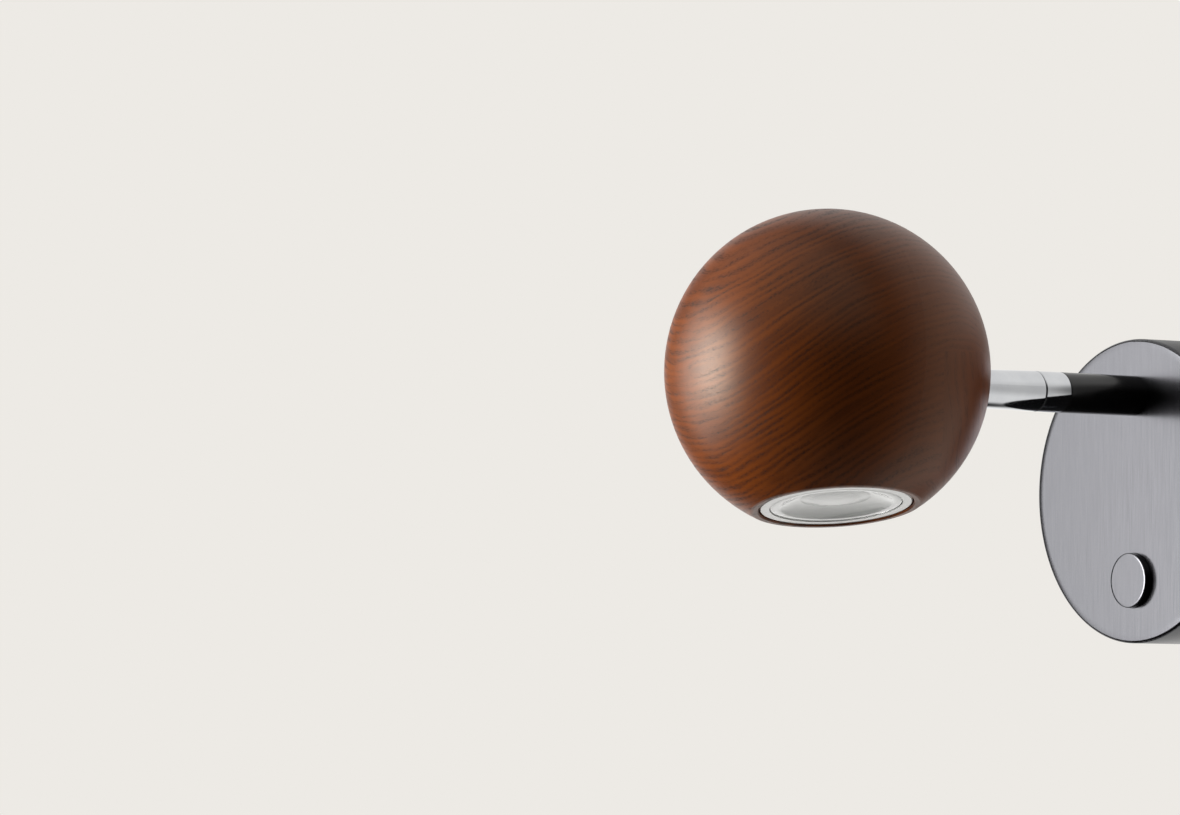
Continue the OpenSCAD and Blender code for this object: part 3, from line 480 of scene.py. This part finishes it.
low_side = add(tree, "ShaderNodeMath", {0: height, 1: 6.5}, operation="LESS_THAN").outputs[0]
side_board = add(tree, "ShaderNodeMath", {0: far_side, 1: low_side}, operation="MULTIPLY").outputs[0]
boards = {0: side_board, 2: main_field, 3: side_field}
field = add(tree, "ShaderNodeMix", boards, data_type="FLOAT").outputs[0]
field = add(tree, "ShaderNodeMath", {0: wander, 1: 5, 2: field}, operation="MULTIPLY_ADD").outputs[0]
grain = add(tree, "ShaderNodeCombineXYZ", {0: along, 1: field, 2: depth}).outputs[0]


def streaks(length, width):
    """Noise drawn out along the wood's grain, in streaks of a length and a width in millimetres."""
    nodes = wood.node_tree
    share = (1 / length, 1 / width, 0.06)
    drawn = add(nodes, "ShaderNodeVectorMath", {0: grain, 1: share}, operation="MULTIPLY").outputs[0]
    return add(nodes, "ShaderNodeTexNoise", {"Vector": drawn, "Scale": 1, "Detail": 1.5}).outputs["Fac"]


ragged = {0: streaks(70, 6), 1: 4.5, 2: field}
years = add(tree, "ShaderNodeMath", ragged, operation="MULTIPLY_ADD").outputs[0]
rings = add(tree, "ShaderNodeMath", {0: years, 1: 1 / ring_spacing}, operation="MULTIPLY").outputs[0]
ring = add(tree, "ShaderNodeMath", {0: rings}, operation="FRACT").outputs[0]
early = add(tree, "ShaderNodeValToRGB", {0: ring})
shades = early.color_ramp.elements
shades[0].color = (0.3, 0.3, 0.3, 1)
shades[1].color = (0.28, 0.28, 0.28, 1)
for position, value in ((0.16, 0.8), (0.3, 1), (0.45, 0.75), (0.64, 0.3), (0.84, 0.08)):
    shades.new(position).color = (value, value, value, 1)
pores = add(
    tree,
    "ShaderNodeMapRange",
    {"Value": streaks(pore_length, pore_width), "From Min": 0.5, "From Max": 0.6},
).outputs["Result"]
uneven = add(
    tree,
    "ShaderNodeMapRange",
    {"Value": streaks(20, 5), "From Min": 0.35, "From Max": 0.65, "To Min": 0.4, "To Max": 1},
).outputs["Result"]
calm = add(
    tree,
    "ShaderNodeMapRange",
    {"Value": across, "From Min": -5, "From Max": 32, "To Min": 1, "To Max": 0.4},
).outputs["Result"]
flames = add(
    tree,
    "ShaderNodeMapRange",
    {"Value": streaks(60, 4), "From Min": 0.44, "From Max": 0.66, "To Min": 0, "To Max": 0.5},
).outputs["Result"]
strength = early.outputs["Color"]
for share in (uneven, calm):
    strength = add(tree, "ShaderNodeMath", {0: strength, 1: share}, operation="MULTIPLY").outputs[0]
rows, bands, flames = [
    add(tree, "ShaderNodeMath", {0: value, 1: share}, operation="MULTIPLY").outputs[0]
    for value, share in ((pores, strength), (strength, band_depth), (flames, calm))
]
dark = add(tree, "ShaderNodeMath", {0: bands, 1: flames}, operation="MAXIMUM").outputs[0]
filled = add(tree, "ShaderNodeMath", {0: rows, 1: pore_depth}, operation="MULTIPLY").outputs[0]
patches = add(tree, "ShaderNodeTexNoise", {"Vector": board, "Scale": 0.05, "Detail": 3}).outputs["Fac"]
stained = linear("#703304")
for share, colour in ((patches, "#7E3D07"), (dark, "#421803"), (filled, "#280C02")):
    inputs = {0: share, 6: stained, 7: linear(colour)}
    stained = add(tree, "ShaderNodeMix", inputs, data_type="RGBA").outputs[2]
tree.links.new(stained, shader.inputs["Base Color"])
satin = add(tree, "ShaderNodeMapRange", {"Value": rows, "To Min": 0.38, "To Max": 0.5})
tree.links.new(satin.outputs["Result"], shader.inputs["Roughness"])
hollow = add(
    tree,
    "ShaderNodeBump",
    {"Height": rows, "Strength": 0.25, "Distance": 0.06 * mm},
    invert=True,
)
tree.links.new(hollow.outputs[0], shader.inputs["Normal"])
dress(wood, "wood_ball")

# Knuckle: a blackened bush in the ball's back wall, clamped by a ring nut, with a steel pin across it.
# Two nylon washers beside the neck's tongue give the friction that holds the tilt.
dress(blackened, "knuckle_socket")
dress(zinc, "knuckle_pin")
dress(natural_nylon, "knuckle_washers")
dress(brass, "socket_nut")

# Lampholder: pressed from steatite, a cream unglazed ceramic, on a bent and plated steel strap.
# Two brass contact springs lie in its chambers, and two screws hold it to the strap.
dress(zinc, "lamp_bracket", "holder_screws")
dress(brass, "holder_contacts")
steatite, tree, shader = finish_of("unglazed_steatite", "#E6E1D4", 0.6)
surface(tree, shader, 1.1 * mm, ("#DCD6C7", "#ECE8DD"), (0.52, 0.7), 0.2)
dress(steatite, "lampholder")

# Head lead: a thin sheathed lead from the knuckle, round the strap to the lampholder's back.
# Its two cores are bared just before the holder.
on_neck = on_wall @ Matrix.Translation((0, 32.2 * mm, 0)) @ Matrix.Rotation(math.radians(11.6), 4, "Z")
on_head = on_neck @ Matrix.Translation((0, 0, 110.7 * mm)) @ Matrix.Rotation(math.radians(-3.8), 4, "X")
head_route = [
    (0, 0, 7), (0, 0, 27.5), (0, 0.9, 30), (0, 3, 31.3), (0, 7, 31.5), (0, 20, 31.5), (0, 23.5, 32),
    (0, 25.3, 34), (0, 25.8, 38), (0, 25.8, 44), (0, 25, 47), (0, 24, 47.9),
]
end_route = [(0.7, 25, 47), (0.7, 23, 48.4), (0.7, 19.5, 48.7)]
head_wires = lead(
    "head_wires",
    on_head,
    [
        (head_route, 3, black_pvc),
        (end_route, 1.2, brown_pvc),
        ([(-x, y, z) for x, y, z in end_route], 1.2, blue_pvc),
    ],
)
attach(head_wires, "head")
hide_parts("head_lead")

# Lamp: a reflector lamp in a white moulded shell, with two headed pins that twist into the holder.
# The shell is glossy polycarbonate, and the board inside is coated white.
shell, tree, shader = finish_of("white_polycarbonate", "#F3F3F1", 0.22)
shader.inputs["Coat Weight"].default_value = 0.4
surface(tree, shader, 2 * mm, ("#F0F0EE", "#F6F6F4"), (0.18, 0.26), 0.02)
dress(shell, "lamp_body")
coated_board, tree, shader = finish_of("white_coated_board", "#EDEEEA", 0.4)
surface(tree, shader, 1 * mm, ("#E8E9E4", "#F2F3F0"), (0.34, 0.46), 0.05)
dress(coated_board, "lamp_board")
dress(zinc, "lamp_pins")

# Lens: moulded in clear polycarbonate, with a flat flange, a dish and a middle dome set with small facets.
# Seen this low it is milky from the white shell behind it and mirrors the wall.
on_lamp = on_head @ Matrix.Translation((0, 0, 48.6 * mm)) @ Matrix.Rotation(math.radians(90), 4, "X")
clear, tree, shader = finish_of("clear_polycarbonate", "#F0F2F0", 0.06)
shader.inputs["IOR"].default_value = 1.58
shader.inputs["Transmission Weight"].default_value = 0.1
shader.inputs["Coat Weight"].default_value = 0.5
surface(tree, shader, 5 * mm, ("#EEF0EE", "#F4F6F4"), (0.05, 0.09), 0.01)
lens_profile = [
    (11.3, 42.5), (11.9, 42.4), (18.2, 44.72), (18.5, 44.92), (18.9, 45), (21.25, 45), (21.6, 44.85),
    (21.7, 44.5), (21.7, 42.2), (16.2, 42.2), (6, 22.2), (0, 24.2),
]
dome_radius = 10.9 * mm
dome_rise = 0.7 * mm
dome_curve = (dome_radius ** 2 + dome_rise ** 2) / (2 * dome_rise)
dome_top = 43.3 * mm
shape = bmesh.new()
last = shape.verts.new((0, 0, dome_top))
bmesh.ops.spin(
    shape,
    geom=[last],
    cent=(0, 0, dome_top - dome_curve),
    axis=(0, 1, 0),
    angle=math.asin(dome_radius / dome_curve),
    steps=16,
)
last = max(shape.verts, key=lambda vert: vert.co.x)
for radius, rise in lens_profile:
    following = shape.verts.new((radius * mm, 0, rise * mm))
    shape.edges.new((last, following))
    last = following
bmesh.ops.spin(
    shape,
    geom=shape.verts[:] + shape.edges[:],
    cent=(0, 0, 0),
    axis=(0, 0, 1),
    angle=2 * math.pi,
    steps=128,
    use_merge=True,
)
facet_pitch = 1 * mm
facet_foot = 0.56 * mm
facet_crown = 0.48 * mm
facet_rise = 0.04 * mm
facet_sink = 0.02 * mm
crown_rise = 0.012 * mm
facet_reach = 8 * mm
row_pitch = facet_pitch * math.sqrt(3) / 2
for row in range(-9, 10):
    for column in range(-9, 10):
        x = (column + row % 2 / 2) * facet_pitch
        y = row * row_pitch
        if math.hypot(x, y) > facet_reach:
            continue
        drop = dome_curve - math.sqrt(dome_curve ** 2 - x * x - y * y)
        facet = bmesh.ops.create_cone(
            shape,
            cap_ends=True,
            segments=6,
            radius1=facet_foot,
            radius2=facet_crown,
            depth=facet_rise,
            matrix=Matrix.Translation((x, y, dome_top - drop + facet_rise / 2 - facet_sink)),
        )
        faces = {face for vert in facet["verts"] for face in vert.link_faces}
        crown = max(faces, key=lambda face: face.calc_center_median().z)
        for face in faces:
            for edge in face.edges:
                edge.smooth = False
        bmesh.ops.poke(shape, faces=[crown], offset=crown_rise)
bmesh.ops.transform(shape, matrix=on_lamp, verts=shape.verts)
front_lens = piece_of("front_lens", shape, clear)
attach(front_lens, "lamp")
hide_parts("lamp_lens")
